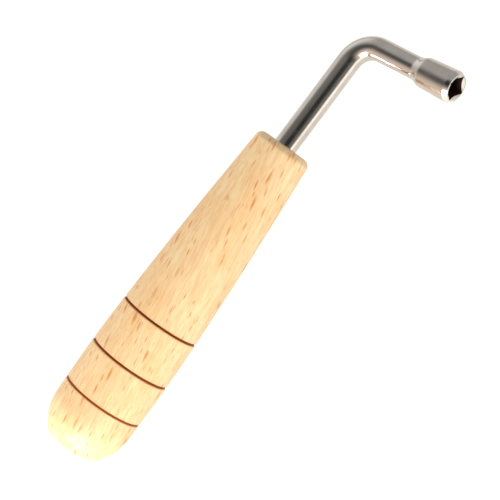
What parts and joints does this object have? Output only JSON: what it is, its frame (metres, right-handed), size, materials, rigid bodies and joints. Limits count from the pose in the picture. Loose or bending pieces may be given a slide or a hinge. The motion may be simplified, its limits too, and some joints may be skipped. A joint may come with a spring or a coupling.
{
  "type": "tuning wrench",
  "caption": "L-shaped tuning wrench: a bent chromed bar with a square socket head, and a turned beech handle with burnt ring grooves.",
  "frame": {"origin": "centre of the socket's mouth", "axes": "-Y out of the socket's mouth, +X from the handle towards the bar, +Z square to the plane of the L, so the wrench lies on its side"},
  "size_m": [0.1623, 0.0649, 0.028],
  "materials": {
    "beech": "sanded and thinly oiled, satin",
    "chromed_steel": "polished plating",
    "glue": "hardened epoxy"
  },
  "bodies": {
    "root": {"handle": "beech", "bar": "chromed_steel", "socket_head": "chromed_steel", "tang_glue": "glue"}
  },
  "joints": []
}
